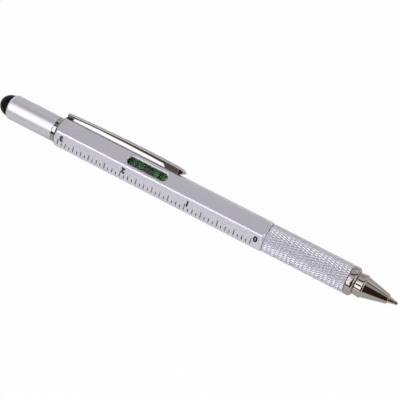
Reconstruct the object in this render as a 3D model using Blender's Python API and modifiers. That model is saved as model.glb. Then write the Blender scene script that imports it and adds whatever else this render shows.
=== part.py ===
"""Multi tool pen: ball pen, inch ruler, bubble level, soft stylus tip and screwdriver bit in one.

The pen lies along X with its writing tip towards +X. It rests on one flat of its hexagonal
barrel, at z = 0, and the origin is the centre of that flat. Metres, +Z up.
"""

import math

import bmesh
import bpy

MM = 0.001

# Fits and gaps shared by all pieces
SEAM = 0.1 * MM
PRESS_FIT = 0.05 * MM
RUNNING_FIT = 0.1 * MM
OVERRUN = 1.0 * MM
MERGE_DISTANCE = 0.0005 * MM
SMOOTH_ANGLE = math.radians(32)
OUTSIDE_STEPS = 32
INSIDE_STEPS = 24
REFILL_STEPS = 16

# Hexagonal barrel
BARREL_LENGTH = 82.0 * MM
BARREL_FLATS = 10.2 * MM
BARREL_BORE = 7.5 * MM
BARREL_EDGE_BEVEL = 0.45 * MM
BARREL_EDGE_STEPS = 2
BARREL_END_DIAMETER = 9.95 * MM
BARREL_REAR_CHAMFER = 0.7 * MM
BARREL_FRONT_CHAMFER = 1.05 * MM

# Window for the level, in the upper flat
WINDOW_LENGTH = 15.6 * MM
WINDOW_WIDTH = 3.3 * MM
WINDOW_LIP_WIDTH = 0.35 * MM
WINDOW_LIP_DEPTH = 0.25 * MM
WINDOW_END_STEPS = 10

# Level vial, held by a spacer at each end. The place share is how much of the slack is behind it.
VIAL_PLACE_SHARE = 0.8063
VIAL_LENGTH = 18.0 * MM
VIAL_BORE = 5.6 * MM
VIAL_END_WALL = 1.2 * MM
VIAL_PLUG_LENGTH = 2.6 * MM
BUBBLE_LENGTH = 5.2 * MM
BUBBLE_WIDTH = 2.6 * MM
BUBBLE_DEPTH = 1.2 * MM
BUBBLE_OFFSET = 0.1 * MM
BUBBLE_TRAVEL = 3.0 * MM
BUBBLE_SEGMENTS = 16
BUBBLE_RINGS = 8
SPACER_BORE = 5.0 * MM

# Collar that carries the clip
COLLAR_LENGTH = 1.7 * MM
COLLAR_REAR_DIAMETER = 9.25 * MM
COLLAR_FRONT_DIAMETER = 10.1 * MM
COLLAR_LAND = 1.0 * MM
COLLAR_HOLE = 7.6 * MM
COLLAR_RECESS_DIAMETER = 8.2 * MM
COLLAR_RECESS_DEPTH = 0.7 * MM
LUG_LENGTH = 2.75 * MM
LUG_FOOT_LENGTH = 0.5 * MM
LUG_SLOPE_LENGTH = 0.3 * MM
LUG_STRIP_LENGTH = 0.8 * MM
LUG_STRIP_HEIGHT = 0.35 * MM
LUG_WIDTH = 2.4 * MM
LUG_HEIGHT = 1.35 * MM
LUG_ROUND = 0.3 * MM

# Clip, with heights measured outwards from the flat that it lies over. Its side view is given by
# the line along its back and the line along its lower edge, as (share of the length, height).
CLIP_FLAT_ANGLE = math.radians(60)
CLIP_SETBACK = 0.85 * MM
CLIP_LENGTH = 46.5 * MM
CLIP_SHEET = 0.5 * MM
CLIP_ROOT_WIDTH = 3.6 * MM
CLIP_END_WIDTH = 4.7 * MM
CLIP_ROOT_HEIGHT = 2.0 * MM
CLIP_BACK = (
    (0.060, 2.12 * MM),
    (0.232, 2.41 * MM),
    (0.404, 2.63 * MM),
    (0.490, 2.72 * MM),
    (0.662, 2.74 * MM),
    (0.834, 2.66 * MM),
    (0.920, 2.56 * MM),
    (0.963, 2.36 * MM),
    (0.983, 2.16 * MM),
    (0.9935, 1.96 * MM),
)
CLIP_TIP_HEIGHT = 1.4 * MM
CLIP_PROW_HEIGHT = 1.1 * MM
CLIP_PROW_SHARE = 0.998
CLIP_EDGE_ROOT_HEIGHT = 1.0 * MM
CLIP_EDGE = (
    (0.060, 1.00 * MM),
    (0.103, 1.15 * MM),
    (0.189, 1.35 * MM),
    (0.275, 1.45 * MM),
    (0.533, 1.45 * MM),
    (0.705, 1.36 * MM),
    (0.834, 1.22 * MM),
)
CLIP_FOOT_SHARES = (0.860, 0.961)
CLIP_HOLLOW_SHARE = 0.951

# Bit holder, pressed into the rear of the barrel
HOLDER_DEPTH = 11.0 * MM
HOLDER_NECK_LENGTH = 5.0 * MM
HOLDER_NECK_DIAMETER = 6.2 * MM
HOLDER_CHAMFER = 0.3 * MM
THREAD_PITCH = 0.75 * MM
THREAD_DEPTH = 0.3 * MM
MAGNET_DIAMETER = 3.6 * MM
MAGNET_LENGTH = 1.5 * MM

# Double-ended screwdriver bit
BIT_LENGTH = 24.0 * MM
BIT_FLATS = 4.0 * MM
BIT_EXPOSED = 9.15 * MM
BIT_TAPER_LENGTH = 6.0 * MM
BIT_NECK_DIAMETER = 3.4 * MM
BIT_POINT_DIAMETER = 1.1 * MM
BIT_POINT_LENGTH = 1.6 * MM
BIT_CROSS_WEB = 0.7 * MM
BIT_FLUTE_LENGTH = 2.6 * MM
BIT_BLADE_THICKNESS = 0.7 * MM
BIT_BLADE_LENGTH = 3.6 * MM

# Screw cap with the soft stylus tip
CAP_LENGTH = 18.9 * MM
CAP_DIAMETER = 9.1 * MM
CAP_BORE = 7.5 * MM
CAP_RIM_DIAMETER = 8.0 * MM
CAP_RIM_LENGTH = 1.1 * MM
CAP_RIM_STEPS = 4
CAP_INSERT_LENGTH = 5.0 * MM
CAP_INSERT_INSET = 0.5 * MM
DOME_DIAMETER = 7.85 * MM
DOME_LENGTH = 4.45 * MM
DOME_WALL = 0.8 * MM
DOME_STEPS = 8
SKIRT_LENGTH = 2.4 * MM
SKIRT_BORE = 5.9 * MM
PLUG_FLANGE_LENGTH = 0.6 * MM

# Grip
GRIP_LENGTH = 29.9 * MM
GRIP_REAR_DIAMETER = 10.18 * MM
GRIP_FRONT_DIAMETER = 10.12 * MM
GRIP_CHAMFER = 0.2 * MM
GRIP_REAR_BORE = 8.1 * MM
GRIP_FRONT_BORE = 6.8 * MM
GRIP_REAR_BORE_DEPTH = 7.0 * MM
BUSH_BARREL_LENGTH = 8.0 * MM
BUSH_GRIP_LENGTH = 5.7 * MM
BUSH_INSET = 0.3 * MM

# Twist mechanism
REFILL_TRAVEL = 6.0 * MM
TWIST_TURN = math.pi
HOUSING_LENGTH = 24.0 * MM
HOUSING_BORE = 6.0 * MM
HOUSING_BUSH_GAP = 1.0 * MM
DRIVE_WALL = 0.7 * MM
DRIVE_FLANGE_DIAMETER = 7.0 * MM
DRIVE_FLANGE_LENGTH = 0.8 * MM
DRIVE_REACH = 4.0 * MM
CARRIER_LENGTH = 7.5 * MM
CARRIER_POCKET = 5.0 * MM
CAM_PIN_DIAMETER = 0.9 * MM
CAM_PIN_FOOT = 0.7 * MM
CAM_PIN_INSET = 1.2 * MM
CAM_SLOT_WIDTH = 1.6 * MM
CAM_SLOT_STEPS = 14
CAM_SLOT_FACETS = 2

# Ball pen refill
REFILL_LENGTH = 67.0 * MM
REFILL_DIAMETER = 2.35 * MM
REFILL_BORE = 1.75 * MM
REFILL_INK_SHARE = 0.82
POINT_LENGTH = 12.6 * MM
POINT_STEM_LENGTH = 3.0 * MM
POINT_CONE_LENGTH = 2.75 * MM
POINT_FRONT_DIAMETER = 1.2 * MM
POINT_CHANNEL = 0.5 * MM
BALL_DIAMETER = 0.9 * MM
BALL_SEGMENTS = 12
BALL_RINGS = 8

# Nose
NOSE_RING_LENGTH = 2.65 * MM
NOSE_RING_REAR_DIAMETER = 9.7 * MM
NOSE_RING_DIAMETER = 10.1 * MM
NOSE_RING_FRONT_DIAMETER = 7.7 * MM
NOSE_RING_CREST_SHARES = (0.2, 0.6)
NOSE_RING_STEPS = 5
NOSE_SHANK_LENGTH = 9.2 * MM
NOSE_BAND_LENGTH = 3.0 * MM
NOSE_BAND_REAR_DIAMETER = 7.6 * MM
NOSE_BAND_DIAMETER = 8.05 * MM
NOSE_BAND_SHARES = (0.68, 0.87)
NOSE_CONE_LENGTH = 8.45 * MM
NOSE_CONE_REAR_DIAMETER = 7.3 * MM
NOSE_LIP_DIAMETER = 3.4 * MM
NOSE_LIP_LENGTH = 0.3 * MM
NOSE_LIP_CHAMFER = 0.15 * MM
NOSE_BORE = 2.6 * MM
POINT_PROTRUSION = 3.4 * MM

# Stations along the pen, worked out from the sizes above
BARREL_REAR = -BARREL_LENGTH / 2
BARREL_FRONT = BARREL_LENGTH / 2
BARREL_CORNERS = BARREL_FLATS / math.cos(math.pi / 6)
COLLAR_FRONT = BARREL_REAR - SEAM
COLLAR_REAR = COLLAR_FRONT - COLLAR_LENGTH
LUG_REAR = COLLAR_FRONT - LUG_FOOT_LENGTH
CLIP_REAR = LUG_REAR + CLIP_SETBACK
HOLDER_FRONT = BARREL_REAR + HOLDER_DEPTH
HOLDER_REAR = COLLAR_REAR - HOLDER_NECK_LENGTH
BIT_REAR = HOLDER_REAR - BIT_EXPOSED
BIT_FRONT = BIT_REAR + BIT_LENGTH
MAGNET_REAR = BIT_FRONT + SEAM
CAP_FRONT = COLLAR_REAR - SEAM
CAP_REAR = CAP_FRONT - CAP_LENGTH
SKIRT_FRONT = CAP_REAR + SKIRT_LENGTH
GRIP_REAR = BARREL_FRONT + SEAM
GRIP_FRONT = GRIP_REAR + GRIP_LENGTH
BUSH_REAR = BARREL_FRONT - BUSH_BARREL_LENGTH
HOUSING_FRONT = BUSH_REAR - HOUSING_BUSH_GAP
HOUSING_REAR = HOUSING_FRONT - HOUSING_LENGTH
DRIVE_REAR = HOUSING_REAR - SEAM - DRIVE_FLANGE_LENGTH
VIAL_REAR = HOLDER_FRONT + VIAL_PLACE_SHARE * (DRIVE_REAR - HOLDER_FRONT - VIAL_LENGTH)
VIAL_FRONT = VIAL_REAR + VIAL_LENGTH
WINDOW_CENTRE = (VIAL_REAR + VIAL_FRONT) / 2
BUBBLE_CENTRE = WINDOW_CENTRE + BUBBLE_OFFSET
NOSE_RING_REAR = GRIP_FRONT + SEAM
NOSE_BAND_REAR = NOSE_RING_REAR + NOSE_RING_LENGTH + SEAM
NOSE_CONE_REAR = NOSE_BAND_REAR + NOSE_BAND_LENGTH
NOSE_FRONT = NOSE_CONE_REAR + NOSE_CONE_LENGTH
TIP = NOSE_FRONT + POINT_PROTRUSION
REFILL_REAR = TIP - REFILL_LENGTH
POINT_FRONT = TIP - BALL_DIAMETER / 2
POINT_REAR = POINT_FRONT - POINT_LENGTH
CARRIER_FRONT = REFILL_REAR - SEAM + CARRIER_POCKET
CARRIER_REAR = CARRIER_FRONT - CARRIER_LENGTH
CAM_PIN_STATION = CARRIER_REAR + CAM_PIN_INSET

# Diameters that follow from what a piece fits
HOLDER_DIAMETER = BARREL_BORE - 2 * PRESS_FIT
VIAL_DIAMETER = BARREL_BORE - 2 * RUNNING_FIT
HOUSING_DIAMETER = BARREL_BORE - 2 * PRESS_FIT
DRIVE_DIAMETER = HOUSING_BORE - 2 * RUNNING_FIT
DRIVE_BORE = DRIVE_DIAMETER - 2 * DRIVE_WALL
CARRIER_DIAMETER = DRIVE_BORE - 2 * RUNNING_FIT
NOSE_SHANK_DIAMETER = GRIP_FRONT_BORE - 2 * PRESS_FIT

ALONG_PEN = (0, math.pi / 2, 0)

for old_object in list(bpy.data.objects):
    bpy.data.objects.remove(old_object)

parts = bpy.data.collections.new("multi_tool_pen")
cutters = bpy.data.collections.new("cutters")
bpy.context.scene.collection.children.link(parts)
bpy.context.scene.collection.children.link(cutters)

pen_axis = bpy.data.objects.new("pen_axis", None)
pen_axis.location = (0, 0, BARREL_FLATS / 2)
parts.objects.link(pen_axis)


def finish(name, colour, roughness, metallic=0.0):
    """A material with the piece's own colour and gloss."""
    material = bpy.data.materials.new(name)
    material.use_nodes = True
    material.diffuse_color = (*colour, 1)
    shader = material.node_tree.nodes["Principled BSDF"]
    shader.inputs["Base Color"].default_value = (*colour, 1)
    shader.inputs["Roughness"].default_value = roughness
    shader.inputs["Metallic"].default_value = metallic
    return material


def place(obj, collection):
    """Puts an object on the pen's axis, in its collection."""
    collection.objects.link(obj)
    obj.parent = pen_axis
    if collection is cutters:
        obj.hide_render = True
        obj.display_type = "WIRE"
    return obj


def turned(name, outer, bore=(), steps=INSIDE_STEPS, collection=parts):
    """A turned body. Both profiles run from the rear to the front as (station, diameter)."""
    closed_rear = bore and bore[0][1] == 0
    profile = [*bore, *reversed(outer)] if closed_rear else [*reversed(outer), *bore]
    mesh = bpy.data.meshes.new(name)
    points = [(diameter / 2, 0, station) for station, diameter in profile]
    edges = [(i, i + 1) for i in range(len(points) - 1)]
    if bore and profile[0][1] > 0:
        edges.append((len(points) - 1, 0))
    mesh.from_pydata(points, edges, [])
    obj = place(bpy.data.objects.new(name, mesh), collection)
    obj.rotation_euler = ALONG_PEN
    turn = obj.modifiers.new("Turn", "SCREW")
    turn.axis = "Z"
    turn.steps = turn.render_steps = steps
    turn.use_merge_vertices = True
    turn.merge_threshold = MERGE_DISTANCE
    return obj


def solid_profile(points):
    """A profile closed to the axis at both ends."""
    return [(points[0][0], 0), *points, (points[-1][0], 0)]


def rod(name, rear, front, diameter, steps=INSIDE_STEPS, collection=parts):
    profile = solid_profile([(rear, diameter), (front, diameter)])
    return turned(name, profile, steps=steps, collection=collection)


def tube(name, rear, front, diameter, bore, steps=INSIDE_STEPS):
    return turned(name, [(rear, diameter), (front, diameter)], [(rear, bore), (front, bore)], steps)


def from_bmesh(name, shape, collection):
    mesh = bpy.data.meshes.new(name)
    shape.to_mesh(mesh)
    shape.free()
    return place(bpy.data.objects.new(name, mesh), collection)


def hexagonal_bar(name, rear, front, flats, collection, edge_bevel=0.0):
    """A bar with a flat on top and a flat below, its long edges rounded if asked."""
    shape = bmesh.new()
    corner = flats / math.cos(math.pi / 6) / 2
    depth = front - rear
    bmesh.ops.create_cone(shape, cap_ends=True, segments=6, radius1=corner, radius2=corner, depth=depth)
    if edge_bevel:
        long_edges = [e for e in shape.edges if abs(e.verts[0].co.z - e.verts[1].co.z) > depth / 2]
        bmesh.ops.bevel(
            shape, geom=long_edges, offset=edge_bevel, segments=BARREL_EDGE_STEPS, profile=0.5, affect="EDGES"
        )
    obj = from_bmesh(name, shape, collection)
    obj.rotation_euler = ALONG_PEN
    obj.location = ((rear + front) / 2, 0, 0)
    return obj


def block(name, centre, size):
    length, width, height = size
    shape = bmesh.new()
    bmesh.ops.create_cube(shape, size=length)
    bmesh.ops.scale(shape, vec=(1, width / length, height / length), verts=shape.verts)
    obj = from_bmesh(name, shape, cutters)
    obj.location = centre
    return obj


def upright_rod(name, diameter, height, collection):
    shape = bmesh.new()
    radius = diameter / 2
    bmesh.ops.create_cone(
        shape, cap_ends=True, segments=REFILL_STEPS, radius1=radius, radius2=radius, depth=height
    )
    return from_bmesh(name, shape, collection)


def outline_solid(name, points, thickness, collection):
    """A flat outline in XY, extruded both ways along Z and made a closed mesh."""
    curve = bpy.data.curves.new(name, "CURVE")
    curve.dimensions = "2D"
    curve.fill_mode = "BOTH"
    curve.extrude = thickness / 2
    spline = curve.splines.new("POLY")
    spline.points.add(len(points) - 1)
    for point, (x, y) in zip(spline.points, points):
        point.co = (x, y, 0, 1)
    spline.use_cyclic_u = True
    return closed_mesh(name, curve, collection)


def closed_mesh(name, curve, collection):
    """The curve as a mesh whose caps are joined to its sides."""
    guide = bpy.data.objects.new(name + "_guide", curve)
    bpy.context.scene.collection.objects.link(guide)
    graph = bpy.context.evaluated_depsgraph_get()
    mesh = bpy.data.meshes.new_from_object(guide.evaluated_get(graph))
    bpy.data.objects.remove(guide)
    shape = bmesh.new()
    shape.from_mesh(mesh)
    bmesh.ops.remove_doubles(shape, verts=shape.verts, dist=MERGE_DISTANCE)
    bmesh.ops.recalc_face_normals(shape, faces=shape.faces)
    bpy.data.meshes.remove(mesh)
    return from_bmesh(name, shape, collection)


def stadium(length, width):
    """Outline of a slot with round ends, centred on the origin."""
    points = []
    for side, start in ((1, -math.pi / 2), (-1, math.pi / 2)):
        for i in range(WINDOW_END_STEPS + 1):
            angle = start + math.pi * i / WINDOW_END_STEPS
            x = side * (length - width) / 2 + width / 2 * math.cos(angle)
            points.append((x, width / 2 * math.sin(angle)))
    return points


def combine(obj, other, operation):
    boolean = obj.modifiers.new(other.name, "BOOLEAN")
    boolean.operation = operation
    boolean.solver = "EXACT"
    boolean.object = other


def cut(obj, *tools):
    for tool in tools:
        combine(obj, tool, "DIFFERENCE")


def thread_profile(rear, front, crest, root):
    """V grooves of one pitch between two stations, from the rear to the front."""
    turns = max(1, int((front - rear) / THREAD_PITCH))
    pitch = (front - rear) / turns
    points = [(rear, crest)]
    for i in range(turns):
        points += [(rear + (i + 0.5) * pitch, root), (rear + (i + 1) * pitch, crest)]
    return points


def rounded(start, end, steps):
    """A quarter ellipse from start to end, leaving start square to the pen's axis."""
    points = []
    for i in range(steps + 1):
        angle = math.pi / 2 * i / steps
        station = end[0] + (start[0] - end[0]) * math.cos(angle)
        points.append((station, start[1] + (end[1] - start[1]) * math.sin(angle)))
    return points


def barrel():
    obj = hexagonal_bar("barrel", BARREL_REAR, BARREL_FRONT, BARREL_FLATS, parts, BARREL_EDGE_BEVEL)
    clear = BARREL_CORNERS + OVERRUN
    reach = (clear - BARREL_END_DIAMETER) / (BARREL_CORNERS - BARREL_END_DIAMETER)
    lathe = [
        (BARREL_REAR, BARREL_END_DIAMETER),
        (BARREL_REAR + BARREL_REAR_CHAMFER * reach, clear),
        (BARREL_FRONT - BARREL_FRONT_CHAMFER * reach, clear),
        (BARREL_FRONT, BARREL_END_DIAMETER),
    ]
    ends = turned("barrel_turned_ends", solid_profile(lathe), steps=OUTSIDE_STEPS, collection=cutters)
    combine(obj, ends, "INTERSECT")
    bore = rod(
        "barrel_bore", BARREL_REAR - OVERRUN, BARREL_FRONT + OVERRUN, BARREL_BORE, OUTSIDE_STEPS, cutters
    )
    slot = outline_solid("window_slot", stadium(WINDOW_LENGTH, WINDOW_WIDTH), BARREL_FLATS, cutters)
    slot.location = (WINDOW_CENTRE, 0, BARREL_FLATS / 2)
    lip_outline = stadium(WINDOW_LENGTH + 2 * WINDOW_LIP_WIDTH, WINDOW_WIDTH + 2 * WINDOW_LIP_WIDTH)
    lip = outline_solid("window_lip", lip_outline, 2 * WINDOW_LIP_DEPTH, cutters)
    lip.location = (WINDOW_CENTRE, 0, BARREL_FLATS / 2)
    cut(obj, bore, slot, lip)
    return obj


def level_vial():
    floor = VIAL_REAR + VIAL_END_WALL
    outer = [(VIAL_REAR, 0), (VIAL_REAR, VIAL_DIAMETER), (VIAL_FRONT, VIAL_DIAMETER)]
    return turned("level_vial", outer, [(floor, 0), (floor, VIAL_BORE), (VIAL_FRONT, VIAL_BORE)])


def vial_plug():
    return rod("vial_plug", VIAL_FRONT - VIAL_PLUG_LENGTH, VIAL_FRONT, VIAL_BORE - 2 * PRESS_FIT)


def bubble_height():
    """Height of the bubble's middle over the axis, just under the top of the vial's bore."""
    return VIAL_BORE / 2 - RUNNING_FIT - BUBBLE_DEPTH / 2 - SEAM


def vial_liquid():
    rear = VIAL_REAR + VIAL_END_WALL + SEAM
    front = VIAL_FRONT - VIAL_PLUG_LENGTH - SEAM
    obj = rod("vial_liquid", rear, front, VIAL_BORE - 2 * PRESS_FIT)
    width = BUBBLE_WIDTH + 2 * RUNNING_FIT
    length = BUBBLE_LENGTH + 2 * BUBBLE_TRAVEL + 2 * RUNNING_FIT
    depth = BUBBLE_DEPTH + 2 * RUNNING_FIT
    channel = outline_solid("bubble_channel", stadium(length, width), depth + OVERRUN, cutters)
    channel.location = (BUBBLE_CENTRE, 0, bubble_height() + OVERRUN / 2)
    cut(obj, channel)
    return obj


def level_bubble():
    shape = bmesh.new()
    radius = BUBBLE_LENGTH / 2
    bmesh.ops.create_uvsphere(shape, u_segments=BUBBLE_SEGMENTS, v_segments=BUBBLE_RINGS, radius=radius)
    shares = (1, BUBBLE_WIDTH / BUBBLE_LENGTH, BUBBLE_DEPTH / BUBBLE_LENGTH)
    bmesh.ops.scale(shape, vec=shares, verts=shape.verts)
    obj = from_bmesh("level_bubble", shape, parts)
    obj.location = (BUBBLE_CENTRE, 0, bubble_height())
    return obj


def level_spacer(name, rear, front):
    return tube(name, rear, front, VIAL_DIAMETER, SPACER_BORE)


def clip_frame(obj, station, height):
    """Turns an outline in XY to stand on the clip's flat, with its origin at a station and height."""
    turn = math.pi / 2 - CLIP_FLAT_ANGLE
    obj.rotation_euler = (turn, 0, 0)
    radius = BARREL_FLATS / 2 + height
    obj.location = (station, radius * math.cos(turn), radius * math.sin(turn))


def clip_collar():
    land = COLLAR_REAR + COLLAR_LAND
    outer = [
        (COLLAR_REAR, COLLAR_REAR_DIAMETER),
        (land, COLLAR_REAR_DIAMETER),
        (COLLAR_FRONT, COLLAR_FRONT_DIAMETER),
    ]
    step = COLLAR_REAR + COLLAR_RECESS_DEPTH
    bore = [
        (COLLAR_REAR, COLLAR_RECESS_DIAMETER),
        (step, COLLAR_RECESS_DIAMETER),
        (step, COLLAR_HOLE),
        (COLLAR_FRONT, COLLAR_HOLE),
    ]
    obj = turned("clip_collar", outer, bore, OUTSIDE_STEPS)
    # The lug stands on the ring's wall and reaches over the barrel's flat, up into the clip.
    wall_middle = (COLLAR_HOLE + COLLAR_REAR_DIAMETER) / 4 - BARREL_FLATS / 2
    outline = [
        (0, wall_middle),
        (LUG_FOOT_LENGTH, wall_middle),
        (LUG_FOOT_LENGTH, SEAM),
        (LUG_LENGTH, SEAM),
        (LUG_LENGTH, LUG_HEIGHT),
        (LUG_STRIP_LENGTH + LUG_ROUND, LUG_HEIGHT),
        (LUG_STRIP_LENGTH, LUG_HEIGHT - LUG_ROUND),
        (LUG_STRIP_LENGTH, LUG_STRIP_HEIGHT),
        (LUG_SLOPE_LENGTH, LUG_STRIP_HEIGHT),
        (0, 0),
    ]
    lug = outline_solid("collar_lug", outline, LUG_WIDTH, cutters)
    clip_frame(lug, LUG_REAR, 0)
    combine(obj, lug, "UNION")
    return obj


def clip_piece(name, outline, wall, collection):
    """A clip outline as a tapering solid whose origin is on the clip's bending line."""
    bend = CLIP_ROOT_HEIGHT - CLIP_SHEET / 2
    lowered = [(x, height - bend) for x, height in outline]
    obj = outline_solid(name, lowered, CLIP_END_WIDTH, collection)
    for vertex in obj.data.vertices:
        share = vertex.co.x / CLIP_LENGTH
        width = CLIP_ROOT_WIDTH + (CLIP_END_WIDTH - CLIP_ROOT_WIDTH) * share
        vertex.co.z = math.copysign(width / 2 - wall, vertex.co.z)
    clip_frame(obj, CLIP_REAR, bend)
    return obj


def clip():
    back = [(CLIP_LENGTH * share, height) for share, height in CLIP_BACK]
    edge = [(CLIP_LENGTH * share, height) for share, height in CLIP_EDGE]
    foot_rear, foot_front = (CLIP_LENGTH * share for share in CLIP_FOOT_SHARES)
    outline = [
        (0, CLIP_EDGE_ROOT_HEIGHT),
        *edge,
        (foot_rear, SEAM),
        (foot_front, SEAM),
        (CLIP_LENGTH * CLIP_PROW_SHARE, CLIP_PROW_HEIGHT),
        (CLIP_LENGTH, CLIP_TIP_HEIGHT),
        *reversed(back),
        (0, CLIP_ROOT_HEIGHT),
    ]
    obj = clip_piece("clip", outline, 0, parts)
    hollow_end = CLIP_LENGTH * CLIP_HOLLOW_SHARE
    inside = [(x, height - CLIP_SHEET) for x, height in back if x < hollow_end]
    hollow_outline = [
        (-OVERRUN, -OVERRUN),
        (hollow_end, -OVERRUN),
        (hollow_end, inside[-1][1]),
        *reversed(inside),
        (-OVERRUN, CLIP_ROOT_HEIGHT - CLIP_SHEET),
    ]
    cut(obj, clip_piece("clip_hollow", hollow_outline, CLIP_SHEET, cutters))
    return obj


def bit_holder():
    flange_front = COLLAR_REAR + COLLAR_RECESS_DEPTH - SEAM
    flange = COLLAR_RECESS_DIAMETER - 2 * PRESS_FIT
    root = HOLDER_NECK_DIAMETER - 2 * THREAD_DEPTH
    thread_rear = HOLDER_REAR + HOLDER_CHAMFER
    thread_front = COLLAR_REAR - CAP_INSERT_INSET
    outer = [
        (HOLDER_REAR, 0),
        (HOLDER_REAR, root),
        *thread_profile(thread_rear, thread_front, HOLDER_NECK_DIAMETER, root),
        (COLLAR_REAR, HOLDER_NECK_DIAMETER),
        (COLLAR_REAR, flange),
        (flange_front, flange),
        (flange_front, HOLDER_DIAMETER),
        (HOLDER_FRONT, HOLDER_DIAMETER),
        (HOLDER_FRONT, 0),
    ]
    obj = turned("bit_holder", outer)
    socket_flats = BIT_FLATS + 2 * PRESS_FIT
    socket = hexagonal_bar("bit_socket", HOLDER_REAR - OVERRUN, MAGNET_REAR, socket_flats, cutters)
    pocket_front = MAGNET_REAR + MAGNET_LENGTH + SEAM
    pocket_diameter = MAGNET_DIAMETER + 2 * PRESS_FIT
    pocket = rod("magnet_pocket", MAGNET_REAR - OVERRUN, pocket_front, pocket_diameter, collection=cutters)
    cut(obj, socket, pocket)
    return obj


def bit_magnet():
    return rod("bit_magnet", MAGNET_REAR, MAGNET_REAR + MAGNET_LENGTH, MAGNET_DIAMETER)


def screwdriver_bit():
    """A hexagonal bit with a cross point at the rear end and a flat blade at the front end."""
    obj = hexagonal_bar("screwdriver_bit", BIT_REAR, BIT_FRONT, BIT_FLATS, parts)
    wide = BIT_FLATS + OVERRUN
    lathe = [
        (BIT_REAR, BIT_POINT_DIAMETER),
        (BIT_REAR + BIT_POINT_LENGTH, BIT_NECK_DIAMETER),
        (BIT_REAR + BIT_TAPER_LENGTH, BIT_NECK_DIAMETER),
        (BIT_REAR + BIT_TAPER_LENGTH, wide),
        (BIT_FRONT - BIT_TAPER_LENGTH, wide),
        (BIT_FRONT - BIT_TAPER_LENGTH, BIT_NECK_DIAMETER),
        (BIT_FRONT, BIT_NECK_DIAMETER),
    ]
    combine(obj, turned("bit_turned_ends", solid_profile(lathe), collection=cutters), "INTERSECT")
    for y_side in (-1, 1):
        for z_side in (-1, 1):
            offset = (BIT_CROSS_WEB + BIT_FLATS) / 2
            centre = (BIT_REAR, y_side * offset, z_side * offset)
            size = (2 * BIT_FLUTE_LENGTH, BIT_FLATS, BIT_FLATS)
            cut(obj, block(f"bit_flute_{y_side}_{z_side}", centre, size))
    for side in (-1, 1):
        centre = (BIT_FRONT, 0, side * (BIT_BLADE_THICKNESS + BIT_FLATS) / 2)
        size = (2 * BIT_BLADE_LENGTH, 2 * BIT_FLATS, BIT_FLATS)
        cut(obj, block(f"bit_blade_side_{side}", centre, size))
    return obj


def cap_tube():
    rim = rounded((CAP_REAR, CAP_RIM_DIAMETER), (CAP_REAR + CAP_RIM_LENGTH, CAP_DIAMETER), CAP_RIM_STEPS)
    bore = [(CAP_REAR, CAP_BORE), (CAP_FRONT, CAP_BORE)]
    return turned("cap_tube", [*rim, (CAP_FRONT, CAP_DIAMETER)], bore, OUTSIDE_STEPS)


def cap_insert():
    front = CAP_FRONT - CAP_INSERT_INSET
    rear = front - CAP_INSERT_LENGTH
    outside = CAP_BORE - 2 * PRESS_FIT
    crest = HOLDER_NECK_DIAMETER + 2 * RUNNING_FIT
    bore = thread_profile(rear, front, crest, crest + 2 * THREAD_DEPTH)
    return turned("cap_insert", [(rear, outside), (front, outside)], bore)


def stylus_dome():
    """The hollow soft tip. Its skirt is held between the cap's tube and the plug."""
    base = CAP_REAR - SEAM
    skirt = CAP_BORE - 2 * PRESS_FIT
    dome = rounded((base - DOME_LENGTH, 0), (base, DOME_DIAMETER), DOME_STEPS)
    outer = [*dome, (base, skirt), (SKIRT_FRONT, skirt)]
    inside = rounded((base - DOME_LENGTH + DOME_WALL, 0), (base, SKIRT_BORE), DOME_STEPS)
    return turned("stylus_dome", outer, [*inside, (SKIRT_FRONT, SKIRT_BORE)], OUTSIDE_STEPS)


def stylus_plug():
    flange = SKIRT_FRONT + SEAM
    outer = [
        (CAP_REAR, SKIRT_BORE - 2 * PRESS_FIT),
        (flange, SKIRT_BORE - 2 * PRESS_FIT),
        (flange, CAP_BORE - 2 * PRESS_FIT),
        (flange + PLUG_FLANGE_LENGTH, CAP_BORE - 2 * PRESS_FIT),
    ]
    return turned("stylus_plug", solid_profile(outer))


def grip_sleeve():
    step = GRIP_REAR + GRIP_REAR_BORE_DEPTH
    outer = [
        (GRIP_REAR, GRIP_REAR_DIAMETER - 2 * GRIP_CHAMFER),
        (GRIP_REAR + GRIP_CHAMFER, GRIP_REAR_DIAMETER),
        (GRIP_FRONT - GRIP_CHAMFER, GRIP_FRONT_DIAMETER),
        (GRIP_FRONT, GRIP_FRONT_DIAMETER - 2 * GRIP_CHAMFER),
    ]
    bore = [
        (GRIP_REAR, GRIP_REAR_BORE),
        (step, GRIP_REAR_BORE),
        (step, GRIP_FRONT_BORE),
        (GRIP_FRONT, GRIP_FRONT_BORE),
    ]
    return turned("grip_sleeve", outer, bore, OUTSIDE_STEPS)


def grip_bush():
    """Turns in the barrel's bore, and is pressed into the grip."""
    shoulder = GRIP_REAR + BUSH_INSET
    front = shoulder + BUSH_GRIP_LENGTH
    bearing = BARREL_BORE - 2 * RUNNING_FIT
    pressed = GRIP_REAR_BORE - 2 * PRESS_FIT
    bore = DRIVE_DIAMETER + 2 * PRESS_FIT
    outer = [(BUSH_REAR, bearing), (shoulder, bearing), (shoulder, pressed), (front, pressed)]
    return turned("grip_bush", outer, [(BUSH_REAR, bore), (front, bore)])


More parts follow.
